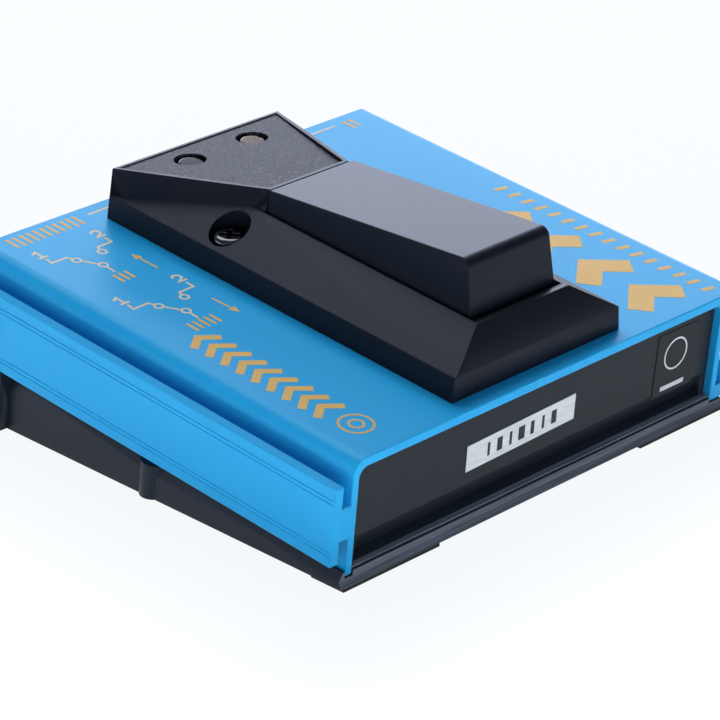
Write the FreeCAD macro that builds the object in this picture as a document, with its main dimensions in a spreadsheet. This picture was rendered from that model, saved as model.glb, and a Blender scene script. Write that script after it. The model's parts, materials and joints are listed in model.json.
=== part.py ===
import FreeCAD, Part
import Sketcher
import math
import os
import re

# Sizes in millimetres and degrees, measured down from the top plate and back from its near end
SIZES = {
    "wedge_angle": 5.36,
    "case_length": 94.9,
    "inner_width": 92.4,
    "plate_thickness": 1.8,
    "wall_thickness": 1.45,
    "wall_bottom": 21.7,
    "rail_slot": 2.0,
    "rail_thickness": 1.95,
    "rail_top": 3.8,
    "rail_web_top": 8.1,
    "rail_web_bottom": 14.4,
    "rail_bottom": 18.6,
    "lip_thickness": 1.7,
    "lip_upper_end": 7.6,
    "lip_lower_end": 15.0,
    "channel_floor": 18.8,
    "left_corner_radius": 2.8,
    "right_corner_radius": 1.9,
    "inner_corner_radius": 1.8,
    "groove_upper": 6.0,
    "groove_lower": 15.75,
    "groove_pitch": 0.75,
    "groove_half": 0.15,
    "groove_depth": 0.2,
    "opening_half": 13.0,
    "opening_near": 12.0,
    "opening_far": 86.4,
    "base_side_wall": 1.7,
    "base_lip": 1.3,
    "base_band": 0.2,
    "base_lean": 1.25,
    "base_top": 20.6,
    "base_seat": 21.9,
    "wall_play_inner": 0.2,
    "wall_play_outer": 0.25,
    "flare_top": 22.2,
    "flare_bottom": 23.1,
    "base_bottom": 23.15,
    "base_floor": 1.8,
    "base_end_wall": 5.2,
    "foot_height": 0.7,
    "rib_centre": 45.6,
    "rib_radius": 2.7,
    "rib_reach": 0.9,
    "ear_near": 82.4,
    "ear_far": 95.2,
    "ear_inset": 0.2,
    "ear_top_left": 19.2,
    "screw_across": 16.5,
    "screw_along": 62.6,
    "screw_post_radius": 4.0,
    "screw_thread_radius": 1.5,
    "screw_head_radius": 2.9,
    "screw_head_height": 2.2,
    "screw_length": 20.0,
    "screw_bore_radius": 3.6,
    "screw_seat": 3.8,
    "screw_clearance": 0.1,
    "screw_play": 0.2,
    "panel_face": 1.4,
    "panel_thickness": 1.8,
    "panel_fit": 0.2,
    "panel_gap": 0.15,
    "scoop_top": 15.8,
    "scoop_depth": 1.6,
    "scoop_slope": 3.4,
    "scoop_bottom": 19.6,
    "scoop_cheek": 1.5,
    "ledge_top": 20.3,
    "ledge_fall": 0.15,
    "ledge_out": 1.1,
    "ledge_back": 0.2,
    "panel_bottom": 20.9,
    "panel_foot_back": 5.0,
    "housing_half": 21.5,
    "housing_near": 3.2,
    "housing_far": 89.0,
    "housing_draft": 0.35,
    "rim_height": 4.45,
    "near_rim_height": 4.9,
    "slope_half": 11.6,
    "slope_near": 7.9,
    "deck_height": 9.95,
    "housing_corner": 0.5,
    "block_foot": 2.0,
    "block_crown": 16.0,
    "block_far_height": 9.75,
    "block_angle": 8.07,
    "block_near_half": 10.6,
    "block_lean": 0.205,
    "well_half": 11.0,
    "well_near": 9.2,
    "well_far": 59.65,
    "well_wall": 1.6,
    "shell": 1.9,
    "indicator_rim": 0.8,
    "indicator_near_rim": 1.1,
    "indicator_angle": 7.07,
    "indicator_recess": 0.9,
    "indicator_thickness": 0.7,
    "indicator_fit": 0.08,
    "led_across": 7.75,
    "led_along": 82.5,
    "led_back": 0.4,
    "led_drop": 0.8,
    "led_hole_radius": 3.0,
    "led_radius": 2.5,
    "led_flange_radius": 2.9,
    "led_flange_height": 1.0,
    "led_height": 8.6,
    "led_edge": 0.5,
    "treadle_half": 10.7,
    "treadle_top_half": 10.15,
    "treadle_near": 10.4,
    "treadle_top_near": 12.5,
    "treadle_far": 59.35,
    "treadle_high": 19.75,
    "treadle_low": 14.05,
    "treadle_skirt": 4.2,
    "treadle_lug": 2.2,
    "treadle_lug_near": 53.4,
    "treadle_edge_radius": 1.8,
    "treadle_shell": 1.8,
    "treadle_near_wall": 2.8,
    "treadle_roof": 3.0,
    "hinge_along": 56.8,
    "hinge_height": 5.0,
    "hinge_radius": 1.5,
    "hinge_running": 0.05,
    "hinge_seat": 0.02,
    "hinge_half_length": 12.5,
    "hinge_end_play": 0.1,
    "switch_along": 24.0,
    "switch_half": 6.2,
    "switch_height": 13.0,
    "switch_neck_radius": 4.6,
    "switch_neck_height": 2.0,
    "plunger_radius": 2.7,
    "plunger_fit": 0.05,
    "plunger_top": 2.6,
    "plunger_bottom": 10.5,
    "plunger_well": 14.0,
    "plunger_gap": 0.15,
    "press_boss_radius": 3.0,
    "spring_along": 40.0,
    "spring_radius": 3.6,
    "spring_wire": 0.5,
    "spring_bottom": 12.0,
    "spring_top": 7.0,
    "spring_turns": 6,
    "spring_post_radius": 4.6,
    "spring_stub_radius": 4.4,
    "board_top": 18.0,
    "board_thickness": 1.6,
    "board_side_gap": 1.7,
    "board_end_gap": 2.7,
    "board_battery_gap": 3.0,
    "board_near": 14.0,
    "board_left": 15.0,
    "board_right": 20.0,
    "board_post_radius": 3.0,
    "board_screw_inset": 4.0,
    "board_hole_play": 0.6,
    "board_screw_radius": 1.25,
    "board_screw_head": 2.3,
    "board_screw_head_height": 1.4,
    "board_screw_length": 3.4,
    "pilot_depth": 0.3,
    "indicator_board_half": 11.4,
    "indicator_board_near": 70.0,
    "indicator_board_far": 86.0,
    "indicator_board_thickness": 1.2,
    "indicator_post_across": 8.5,
    "indicator_post_along": 73.0,
    "indicator_post_radius": 2.4,
    "jack_across": 30.0,
    "jack_depth": 10.6,
    "jack_half": 7.4,
    "jack_body_length": 20.0,
    "jack_bore_radius": 3.25,
    "jack_bore_length": 26.0,
    "bushing_radius": 4.65,
    "bushing_reach": 5.3,
    "bushing_play": 0.25,
    "washer_radius": 6.8,
    "washer_thickness": 0.8,
    "nut_flats": 12.8,
    "nut_play": 0.05,
    "nut_thickness": 2.6,
    "battery_width": 26.5,
    "battery_length": 46.0,
    "battery_height": 17.5,
    "battery_near": 9.0,
    "battery_edge": 1.5,
    "stud_radius": 2.8,
    "stud_height": 2.6,
    "stud_spacing": 12.7,
    "clip_thickness": 2.2,
    "clip_inset": 1.0,
    "clip_half_height": 6.0,
    "clip_play": 0.3,
    "door_inset": 1.0,
    "door_side_margin": 1.15,
    "door_end_margin": 0.6,
    "door_gap": 0.3,
    "peg_radius": 0.5,
    "peg_play": 0.08,
    "peg_length": 1.4,
    "peg_end_play": 0.2,
    "serial_left": 18.8,
    "serial_top": 7.7,
    "serial_width": 27.4,
    "serial_height": 5.1,
    "serial_turn": 1.6,
    "label_left": 30.6,
    "label_top": 3.8,
    "label_width": 10.6,
    "label_height": 12.6,
    "label_thickness": 0.12,
    "near_foot_length": 23.0,
    "foot_side_inset": 0.6,
    "foot_depth": 7.6,
    "foot_inset": 0.2,
    "far_foot_length": 20.0,
    "tab_length": 6.0,
    "tab_root": 0.5,
    "tab_reach": 0.8,
    "tab_thickness": 1.2,
    "tab_near": 18.0,
    "tab_far": 44.0,
}

os.makedirs("parts", exist_ok=True)
doc = FreeCAD.newDocument("ab_switch_pedal")
sheet = doc.addObject("Spreadsheet::Sheet", "Sizes")
for row, (name, number) in enumerate(SIZES.items(), start=1):
    sheet.set("A%d" % row, name)
    sheet.set("B%d" % row, str(number))
    sheet.setAlias("B%d" % row, name)
doc.recompute()


def size(name):
    return float(sheet.get(name))


# Expressions are written with bare size names and pointed at the sheet here
def bound(text):
    def named(match):
        word = match.group()
        return "Sizes." + word if word in SIZES else word
    return re.sub(r"[a-z_]+", named, text)


# The case stands on a wedge: pieces drawn square to the top plate are tipped by it
SHIFT = ("-((case_length + bushing_reach) * cos(wedge_angle * 1 deg)"
         " + (jack_depth + bushing_radius) * sin(wedge_angle * 1 deg)) / 2")
RISE = "base_bottom * cos(wedge_angle * 1 deg) + foot_height"
angle = math.radians(size("wedge_angle"))
REACH = size("case_length") + size("bushing_reach")
DEEP = size("jack_depth") + size("bushing_radius")
shift = -(REACH * math.cos(angle) + DEEP * math.sin(angle)) / 2
rise = size("base_bottom") * math.cos(angle) + size("foot_height")


def tip(item):
    turn = FreeCAD.Rotation(FreeCAD.Vector(1, 0, 0), size("wedge_angle"))
    item.Placement = FreeCAD.Placement(FreeCAD.Vector(0, shift, rise), turn)
    item.setExpression("Placement.Base.y", bound(SHIFT))
    item.setExpression("Placement.Base.z", bound(RISE))
    item.setExpression("Placement.Rotation.Angle", bound("wedge_angle"))


def new_body(name, tipped=True):
    body = doc.addObject("PartDesign::Body", name)
    body.Label = name
    if tipped:
        tip(body)
    return body


ROLES = {"plan": "XY_Plane", "front": "XZ_Plane", "side": "YZ_Plane"}


def draw(body, name, plane, offset="0"):
    drawing = body.newObject("Sketcher::SketchObject", name)
    planes = [p for p in body.Origin.OriginFeatures if p.Role == ROLES[plane]]
    drawing.AttachmentSupport = [(planes[0], "")]
    drawing.MapMode = "FlatFace"
    if offset != "0":
        drawing.setExpression("AttachmentOffset.Base.z", bound(offset))
    return drawing


def hold(drawing, kind, curve, point, start, text):
    rule = Sketcher.Constraint(kind, -1, 1, curve, point, start)
    number = drawing.addConstraint(rule)
    drawing.setExpression("Constraints[%d]" % number, bound(text))


def polygon(drawing, corners):
    first = drawing.GeometryCount
    count = len(corners)
    spots = []
    for index in range(count):
        turn = 2 * math.pi * index / count
        spots.append(FreeCAD.Vector(30 * math.cos(turn), 30 * math.sin(turn), 0))
    for index in range(count):
        edge = Part.LineSegment(spots[index], spots[(index + 1) % count])
        drawing.addGeometry(edge, False)
    for index in range(count):
        after = first + (index + 1) % count
        drawing.addConstraint(Sketcher.Constraint("Coincident", first + index, 2, after, 1))
    for index, (across, up) in enumerate(corners):
        hold(drawing, "DistanceX", first + index, 1, spots[index].x, across)
        hold(drawing, "DistanceY", first + index, 1, spots[index].y, up)


def rectangle(drawing, left, right, low, high):
    polygon(drawing, [(left, low), (right, low), (right, high), (left, high)])


def circle(drawing, across, up, radius):
    curve = drawing.addGeometry(Part.Circle(FreeCAD.Vector(9, 7, 0), FreeCAD.Vector(0, 0, 1), 2), False)
    hold(drawing, "DistanceX", curve, 3, 9.0, across)
    hold(drawing, "DistanceY", curve, 3, 7.0, up)
    number = drawing.addConstraint(Sketcher.Constraint("Radius", curve, 2.0))
    drawing.setExpression("Constraints[%d]" % number, bound(radius))


def grow(body, drawing, length, middle=False, back=False):
    feature = body.newObject("PartDesign::Pad", drawing.Name + "_pad")
    feature.Profile = drawing
    feature.setExpression("Length", bound(length))
    feature.Midplane = middle
    feature.Reversed = back
    drawing.Visibility = False
    doc.recompute()
    return feature


def carve(body, drawing, length, middle=False, back=False):
    before = body.Shape.Volume
    feature = body.newObject("PartDesign::Pocket", drawing.Name + "_cut")
    feature.Profile = drawing
    feature.setExpression("Length", bound(length))
    feature.Midplane = middle
    feature.Reversed = back
    drawing.Visibility = False
    doc.recompute()
    if not body.Shape.Volume < before - 1e-6:
        raise RuntimeError(drawing.Name + " removes nothing")
    return feature


# Edges are picked by the place of their middle in the body's own frame
def soften(body, kind, amount, chosen):
    names = []
    for number, edge in enumerate(body.Tip.Shape.Edges, start=1):
        low = edge.valueAt(edge.FirstParameter)
        high = edge.valueAt(edge.LastParameter)
        if chosen(low, high):
            names.append("Edge%d" % number)
    if not names:
        raise RuntimeError("no edge to soften on " + body.Name)
    feature = body.newObject("PartDesign::" + kind, body.Name + "_" + kind.lower())
    feature.Base = (body.Group[-2], names)
    feature.setExpression("Radius" if kind == "Fillet" else "Size", bound(amount))
    doc.recompute()
    return feature


def near(value, wanted):
    return abs(value - wanted) < 1e-4


WALL_IN = "inner_width / 2"
WALL_OUT = "(inner_width / 2 + wall_thickness)"
RAIL_IN = "(inner_width / 2 + wall_thickness + rail_slot)"
RAIL_OUT = "(inner_width / 2 + wall_thickness + rail_slot + rail_thickness)"
LIP_IN = "(inner_width / 2 + wall_thickness + rail_slot + rail_thickness - lip_thickness)"
SLOT_IN = "(inner_width / 2 - wall_play_inner)"
SLOT_OUT = "(inner_width / 2 + wall_thickness + wall_play_outer)"
BASE_HALF = "(inner_width / 2 + wall_thickness + wall_play_outer + base_side_wall)"
EAR_HALF = "(%s - ear_inset)" % RAIL_OUT
BOARD_HALF = "(inner_width / 2 - board_side_gap)"
BOARD_FAR = "(case_length - panel_face - panel_thickness - board_end_gap)"
BOARD_STEP = ("(battery_near + (battery_length + clip_thickness) * cos(wedge_angle * 1 deg)"
              " + board_battery_gap)")
DOOR_LEFT = "(inner_width / 2 - door_inset)"
BATTERY_LEFT = "(inner_width / 2 - door_inset - door_side_margin)"
DOOR_RIGHT = "(inner_width / 2 - door_inset - battery_width - door_side_margin * 2)"
DOOR_NEAR = "(battery_near - door_end_margin)"
DOOR_FAR = ("(battery_near + (battery_length + stud_height + door_end_margin)"
            " * cos(wedge_angle * 1 deg))")
DOOR_SPAN = "(battery_length + stud_height + door_end_margin * (1 + 1 / cos(wedge_angle * 1 deg)))"
FLOOR_UP = "(base_floor * cos(wedge_angle * 1 deg))"
PEG_LINE = "(%s + %s / 2)" % (DOOR_RIGHT, FLOOR_UP)

# Blue extruded case: top plate and side walls, a T rail on the left, a C channel on the right
case = new_body("case_extrusion")
profile = draw(case, "case_profile", "front")
corners = [
    ("-" + WALL_IN, "-wall_bottom"), ("-" + WALL_IN, "-plate_thickness"),
    (WALL_IN, "-plate_thickness"), (WALL_IN, "-wall_bottom"),
    (RAIL_OUT, "-wall_bottom"), (RAIL_OUT, "-lip_lower_end"),
    (LIP_IN, "-lip_lower_end"), (LIP_IN, "-channel_floor"),
    (WALL_OUT, "-channel_floor"), (WALL_OUT, "-plate_thickness"),
    (LIP_IN, "-plate_thickness"), (LIP_IN, "-lip_upper_end"),
    (RAIL_OUT, "-lip_upper_end"), (RAIL_OUT, "0"), ("-" + WALL_OUT, "0"),
    ("-" + WALL_OUT, "-rail_web_top"), ("-" + RAIL_IN, "-rail_web_top"),
    ("-" + RAIL_IN, "-rail_top"), ("-" + RAIL_OUT, "-rail_top"),
]
for line in ("groove_upper", "groove_upper + groove_pitch",
             "groove_lower", "groove_lower + groove_pitch"):
    corners.append(("-" + RAIL_OUT, "-(%s - groove_half)" % line))
    corners.append(("-%s + groove_depth" % RAIL_OUT, "-(%s)" % line))
    corners.append(("-" + RAIL_OUT, "-(%s + groove_half)" % line))
corners += [
    ("-" + RAIL_OUT, "-rail_bottom"), ("-" + RAIL_IN, "-rail_bottom"),
    ("-" + RAIL_IN, "-rail_web_bottom"), ("-" + WALL_OUT, "-rail_web_bottom"),
    ("-" + WALL_OUT, "-wall_bottom"),
]
polygon(profile, corners)
grow(case, profile, "case_length", back=True)
wall_out = size("inner_width") / 2 + size("wall_thickness")
rail_out = wall_out + size("rail_slot") + size("rail_thickness")
soften(case, "Fillet", "left_corner_radius",
       lambda a, b: near(a.x, -wall_out) and near(b.x, -wall_out) and near(a.z, 0) and near(b.z, 0))
soften(case, "Fillet", "right_corner_radius",
       lambda a, b: near(a.x, rail_out) and near(b.x, rail_out) and near(a.z, 0) and near(b.z, 0))
plate_under = -size("plate_thickness")
soften(case, "Fillet", "inner_corner_radius",
       lambda a, b: near(abs(a.x), size("inner_width") / 2) and near(a.x, b.x)
       and near(a.z, plate_under) and near(b.z, plate_under))
window = draw(case, "case_window", "plan")
rectangle(window, "-opening_half", "opening_half", "opening_near", "opening_far")
carve(case, window, "plate_thickness + 1")
holes = draw(case, "case_screw_holes", "plan")
for side in ("-", ""):
    circle(holes, side + "screw_across", "screw_along", "screw_thread_radius + screw_play")
carve(case, holes, "plate_thickness + 1")


# Height of the base's underside at a place along the case
def under(along, lift="0"):
    return "-(base_bottom + (%s) * tan(wedge_angle * 1 deg)) + (%s)" % (along, lift)


DEEP_PLANE = under("case_length", "-4")

# Black base moulding: a wedge-shaped tray with flared ends, side ribs, rear ears and posts
base = new_body("base_moulding")
block = draw(base, "base_block", "side")
polygon(block, [
    ("-base_lip", DEEP_PLANE), ("-base_lip", "-flare_bottom"),
    ("-base_band", "-flare_top"), ("-base_band", "-base_top"),
    ("case_length + base_band", "-base_top"),
    ("case_length + base_band", under("case_length", "base_bottom - flare_top")),
    ("case_length + base_lip", under("case_length", "base_bottom - flare_bottom")),
    ("case_length + base_lip", DEEP_PLANE),
])
grow(base, block, BASE_HALF + " * 2", middle=True)
lean = draw(base, "base_left_lean", "front", "5")
polygon(lean, [
    ("-" + BASE_HALF, "-flare_bottom"), ("-(%s - base_lean)" % BASE_HALF, "-base_top"),
    ("-(%s - base_lean)" % BASE_HALF, "0"), ("-(%s + 5)" % BASE_HALF, "0"),
    ("-(%s + 5)" % BASE_HALF, "-flare_bottom"),
])
carve(base, lean, "case_length + 10")
for side, top in (("-", "base_top"), ("", "base_seat")):
    word = "left" if side else "right"
    rib = draw(base, "base_rib_" + word, "plan", DEEP_PLANE)
    circle(rib, "%s(%s + rib_reach - rib_radius)" % (side, BASE_HALF), "rib_centre", "rib_radius")
    grow(base, rib, "-%s - (%s)" % (top, DEEP_PLANE))
    ear = draw(base, "base_ear_" + word, "plan", DEEP_PLANE)
    inner = "%s(%s - base_side_wall)" % (side, BASE_HALF)
    rectangle(ear, inner, side + EAR_HALF, "ear_near", "ear_far")
    ear_top = "ear_top_left" if side else "base_seat"
    grow(base, ear, "-%s - (%s)" % (ear_top, DEEP_PLANE))
slots = draw(base, "base_wall_slots", "plan", "-base_seat")
rectangle(slots, "-" + SLOT_OUT, "-" + SLOT_IN, "-5", "case_length + 5")
rectangle(slots, SLOT_IN, BASE_HALF + " + 5", "-5", "case_length + 5")
carve(base, slots, "5", back=True)
seats = draw(base, "base_panel_seats", "plan", "-panel_bottom")
rectangle(seats, "-" + SLOT_IN, SLOT_IN, "-5", "case_length + 5")
carve(base, seats, "5", back=True)
room = draw(base, "base_room", "side")
polygon(room, [
    ("base_end_wall", under("base_end_wall", "base_floor")),
    ("case_length - base_end_wall", under("case_length - base_end_wall", "base_floor")),
    ("case_length - base_end_wall", "0"), ("base_end_wall", "0"),
])
carve(base, room, SLOT_OUT + " * 2", middle=True)
BOARD_SCREWS = [
    ("-(%s - board_screw_inset)" % BOARD_HALF, BOARD_STEP + " + board_screw_inset"),
    (BOARD_HALF + " - board_screw_inset", BOARD_STEP + " + board_screw_inset"),
    ("-(board_left - board_screw_inset)", "board_near + board_screw_inset"),
    ("board_right - board_screw_inset", "board_near + board_screw_inset"),
]
long_posts = draw(base, "base_screw_posts", "plan", DEEP_PLANE)
for side in ("-", ""):
    circle(long_posts, side + "screw_across", "screw_along", "screw_post_radius")
grow(base, long_posts, "-plate_thickness - (%s)" % DEEP_PLANE)
board_posts = draw(base, "base_board_posts", "plan", DEEP_PLANE)
for across, along in BOARD_SCREWS:
    circle(board_posts, across, along, "board_post_radius")
grow(base, board_posts, "-(board_top + board_thickness) - (%s)" % DEEP_PLANE)
spring_post = draw(base, "base_spring_post", "plan", DEEP_PLANE)
circle(spring_post, "0", "spring_along", "spring_post_radius")
grow(base, spring_post, "-spring_bottom - (%s)" % DEEP_PLANE)
wedge = draw(base, "base_wedge", "side")
polygon(wedge, [
    ("-10", under("-10")), ("case_length + 10", under("case_length + 10")),
    ("case_length + 10", under("case_length", "-20")), ("-10", under("case_length", "-20")),
])
carve(base, wedge, BASE_HALF + " * 2 + 20", middle=True)
door_way = draw(base, "base_door_way", "plan", DEEP_PLANE)
rectangle(door_way, "-(%s + door_gap)" % DOOR_LEFT, "-(%s - door_gap)" % DOOR_RIGHT,
          DOOR_NEAR + " - door_gap", DOOR_FAR + " + door_gap")
carve(base, door_way, "-(base_bottom - base_floor) - (%s)" % DEEP_PLANE, back=True)
tabs = draw(base, "base_door_tabs", "side", "-(%s + door_gap + tab_root)" % DOOR_LEFT)
for start in ("tab_near", "tab_far"):
    stop = "(%s + tab_length)" % start
    polygon(tabs, [
        (start, under(start, "base_floor")), (stop, under(stop, "base_floor")),
        (stop, under(stop, "base_floor + tab_thickness")),
        (start, under(start, "base_floor + tab_thickness")),
    ])
grow(base, tabs, "tab_root + door_gap + tab_reach")
DOOR_MIDDLE = "((%s + %s) / 2)" % (DOOR_NEAR, DOOR_FAR)
sockets = draw(base, "base_door_sockets", "front")
turn = FreeCAD.Rotation(FreeCAD.Vector(1, 0, 0), -size("wedge_angle"))
sockets.AttachmentOffset = FreeCAD.Placement(FreeCAD.Vector(0, -size("base_bottom"), -1), turn)
sockets.setExpression("AttachmentOffset.Base.y", bound(under(DOOR_MIDDLE)))
sockets.setExpression("AttachmentOffset.Base.z", bound("-" + DOOR_MIDDLE))
sockets.setExpression("AttachmentOffset.Rotation.Angle", bound("-wedge_angle"))
circle(sockets, "-" + PEG_LINE, FLOOR_UP + " / 2", "peg_radius + peg_play")
carve(base, sockets, DOOR_SPAN + " + (peg_length + peg_end_play) * 2", middle=True)
threads = draw(base, "base_thread_holes", "plan", "-plate_thickness")
for side in ("-", ""):
    circle(threads, side + "screw_across", "screw_along", "screw_thread_radius + screw_clearance")
carve(base, threads, "screw_length - screw_seat")
pilots = draw(base, "base_board_holes", "plan", "-(board_top + board_thickness)")
for across, along in BOARD_SCREWS:
    circle(pilots, across, along, "board_screw_radius + screw_clearance")
carve(base, pilots, "board_screw_length - board_thickness + pilot_depth")

# Black end panel below the treadle: flat, then a finger scoop over a ledge
near_panel = new_body("end_panel_near")
near_section = draw(near_panel, "end_section_near", "side")
polygon(near_section, [
    ("panel_face", "-(plate_thickness + panel_gap)"),
    ("panel_face", "-scoop_top"),
    ("panel_face + scoop_depth", "-(scoop_top + scoop_slope)"),
    ("panel_face + scoop_depth", "-scoop_bottom"),
    ("panel_face - ledge_back", "-ledge_top"),
    ("panel_face - ledge_out", "-(ledge_top + ledge_fall)"),
    ("panel_face - ledge_out", "-panel_bottom"),
    ("panel_foot_back", "-panel_bottom"),
    ("panel_foot_back", "-(scoop_top + scoop_slope - panel_thickness)"),
    ("panel_face + panel_thickness", "-(scoop_top + scoop_slope - panel_thickness * 1.5)"),
    ("panel_face + panel_thickness", "-(plate_thickness + panel_gap)"),
])
grow(near_panel, near_section, "inner_width - panel_fit * 2", middle=True)
for word, start in (("left", "-(inner_width / 2 - panel_fit)"),
                    ("right", "inner_width / 2 - panel_fit - scoop_cheek")):
    cheek = draw(near_panel, "scoop_cheek_" + word, "side", start)
    polygon(cheek, [
        ("panel_face", "-scoop_top"), ("panel_face", "-ledge_top"), ("panel_foot_back", "-ledge_top"),
        ("panel_foot_back", "-(scoop_top + scoop_slope - panel_thickness)"),
    ])
    grow(near_panel, cheek, "scoop_cheek")
panel_half = size("inner_width") / 2 - size("panel_fit")
panel_top = plate_under - size("panel_gap")


# Both end panels follow the rounded inner corners of the case
def round_panel(panel):
    soften(panel, "Fillet", "inner_corner_radius",
           lambda a, b: near(abs(a.x), panel_half) and near(a.x, b.x)
           and near(a.z, panel_top) and near(b.z, panel_top))


round_panel(near_panel)

# Black end panel at the jacks: flat, with a ledge at its foot and three holes
far_panel = new_body("end_panel_far")
far_section = draw(far_panel, "end_section_far", "side")
FAR_OUT = "(case_length - panel_face)"
polygon(far_section, [
    (FAR_OUT, "-(plate_thickness + panel_gap)"),
    (FAR_OUT, "-ledge_top"),
    (FAR_OUT + " + ledge_out", "-(ledge_top + ledge_fall)"),
    (FAR_OUT + " + ledge_out", "-panel_bottom"),
    (FAR_OUT + " - panel_thickness", "-panel_bottom"),
    (FAR_OUT + " - panel_thickness", "-(plate_thickness + panel_gap)"),
])
grow(far_panel, far_section, "inner_width - panel_fit * 2", middle=True)
mouths = draw(far_panel, "end_jack_holes", "front", "-case_length")
for across in ("-jack_across", "0", "jack_across"):
    circle(mouths, across, "-jack_depth", "bushing_radius + bushing_play")
carve(far_panel, mouths, "panel_face + panel_thickness + 2", back=True)
round_panel(far_panel)

# Black pedal housing: low rim, slopes up to the treadle well, raised indicator block behind
housing = new_body("pedal_housing")
section = draw(housing, "housing_section", "front", "-housing_near")
polygon(section, [
    ("-housing_half", "0"), ("housing_half", "0"),
    ("housing_half - housing_draft", "rim_height"), ("slope_half", "deck_height"),
    ("-slope_half", "deck_height"), ("-(housing_half - housing_draft)", "rim_height"),
])
grow(housing, section, "housing_far - housing_near", back=True)
ramp = draw(housing, "housing_near_ramp", "side")
polygon(ramp, [
    ("housing_near - 2", "0"), ("housing_near", "0"),
    ("housing_near + housing_draft", "near_rim_height"), ("slope_near", "deck_height"),
    ("slope_near", "deck_height + 3"), ("housing_near - 2", "deck_height + 3"),
])
carve(housing, ramp, "housing_half * 2 + 4", middle=True)


# The block's far edges carry the lean of the housing's side walls on up to the roof
def wall_half(height):
    return "(housing_half - housing_draft * (%s) / rim_height)" % height


BLOCK_SPREAD = "((%s - block_near_half) / (housing_far - well_far))" % wall_half("block_far_height")


def block_half(along, height):
    return ("(block_near_half + (%s - well_far) * %s"
            " + (block_far_height - (%s)) * block_lean)" % (along, BLOCK_SPREAD, height))


def block_section(name, height):
    outline = draw(housing, name, "plan", height)
    polygon(outline, [
        ("-" + wall_half(height), "housing_far"), ("-" + block_half("well_far", height), "well_far"),
        (block_half("well_far", height), "well_far"), (wall_half(height), "housing_far"),
    ])
    return outline


low = block_section("block_low", "block_foot")
high = block_section("block_high", "block_crown")
loft = housing.newObject("PartDesign::AdditiveLoft", "block_loft")
loft.Profile = low
loft.Sections = [high]
loft.Ruled = True
doc.recompute()
FALL = "tan(block_angle * 1 deg)"
roof = draw(housing, "block_roof", "side")
polygon(roof, [
    ("well_far - 5", "block_far_height + (housing_far - well_far + 5) * %s" % FALL),
    ("housing_far + 2", "block_far_height - 2 * %s" % FALL),
    ("housing_far + 2", "30"), ("well_far - 5", "30"),
])
carve(housing, roof, "housing_half * 2 + 4", middle=True)
well = draw(housing, "treadle_well", "plan", "deck_height + 10")
rectangle(well, "-well_half", "well_half", "well_near", "well_far")
carve(housing, well, "deck_height + 12")


# A drawing on the sloping roof of the indicator block, its origin in the middle of the far edge
def draw_on_roof(body, name, lift="0"):
    drawing = draw(body, name, "plan")
    turn = FreeCAD.Rotation(FreeCAD.Vector(1, 0, 0), -size("indicator_angle"))
    place = FreeCAD.Vector(0, size("housing_far"), size("block_far_height"))
    drawing.AttachmentOffset = FreeCAD.Placement(place, turn)
    up = "(%s)" % lift
    drawing.setExpression("AttachmentOffset.Base.y",
                          bound("housing_far + %s * sin(indicator_angle * 1 deg)" % up))
    drawing.setExpression("AttachmentOffset.Base.z",
                          bound("block_far_height + %s * cos(indicator_angle * 1 deg)" % up))
    drawing.setExpression("AttachmentOffset.Rotation.Angle", bound("-indicator_angle"))
    return drawing


ROOF_LENGTH = "((housing_far - well_far) / cos(block_angle * 1 deg))"
NEAR_TOP = "(block_far_height + (housing_far - well_far) * %s)" % FALL
ROOF_FAR_HALF = block_half("housing_far", "block_far_height")
ROOF_NEAR_HALF = block_half("well_far", NEAR_TOP)
ROOF_SPREAD = "((%s - %s) / %s)" % (ROOF_FAR_HALF, ROOF_NEAR_HALF, ROOF_LENGTH)
SIDE_SHARE = "sqrt(1 + %s * %s)" % (ROOF_SPREAD, ROOF_SPREAD)


# The recess and its sheet leave a rim of even width at the sides and a wider one beside the treadle
def roof_outline(drawing, play):
    inset = "(indicator_rim + %s)" % play
    near_inset = "(indicator_near_rim + %s)" % play
    far_half = "(%s - %s * (%s + %s))" % (ROOF_FAR_HALF, inset, ROOF_SPREAD, SIDE_SHARE)
    near_half = "(%s + %s * %s - %s * %s)" % (ROOF_NEAR_HALF, near_inset, ROOF_SPREAD, inset, SIDE_SHARE)
    far_line = "-" + inset
    near_line = "-(%s - %s)" % (ROOF_LENGTH, near_inset)
    polygon(drawing, [
        ("-" + far_half, far_line), ("-" + near_half, near_line),
        (near_half, near_line), (far_half, far_line),
    ])


def led_holes(drawing, radius):
    back = "-((housing_far - led_along) / cos(indicator_angle * 1 deg))"
    for side in ("-", ""):
        circle(drawing, side + "led_across", back, radius)


recess = draw_on_roof(housing, "indicator_recess", "indicator_recess * 2")
roof_outline(recess, "0")
carve(housing, recess, "indicator_recess * 3")
lamp_holes = draw_on_roof(housing, "lamp_holes")
led_holes(lamp_holes, "led_hole_radius")
carve(housing, lamp_holes, "8")
bores = draw(housing, "screw_bores", "plan", "deck_height + 3")
shanks = draw(housing, "screw_shanks", "plan", "deck_height + 3")
for side in ("-", ""):
    circle(bores, side + "screw_across", "screw_along", "screw_bore_radius")
    circle(shanks, side + "screw_across", "screw_along", "screw_thread_radius + screw_play")
carve(housing, bores, "deck_height + 3 - screw_seat")
carve(housing, shanks, "deck_height + 5")
hollows = draw(housing, "housing_hollows", "plan")
HOLLOW_IN = "(well_half + well_wall)"
HOLLOW_OUT = "(housing_half - housing_draft - shell)"
rectangle(hollows, HOLLOW_IN, HOLLOW_OUT, "well_near + shell", "hinge_along")
rectangle(hollows, "-" + HOLLOW_OUT, "-" + HOLLOW_IN, "well_near + shell", "hinge_along")
carve(housing, hollows, "rim_height - shell", back=True)
lamp_room = draw(housing, "lamp_room", "plan")
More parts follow.
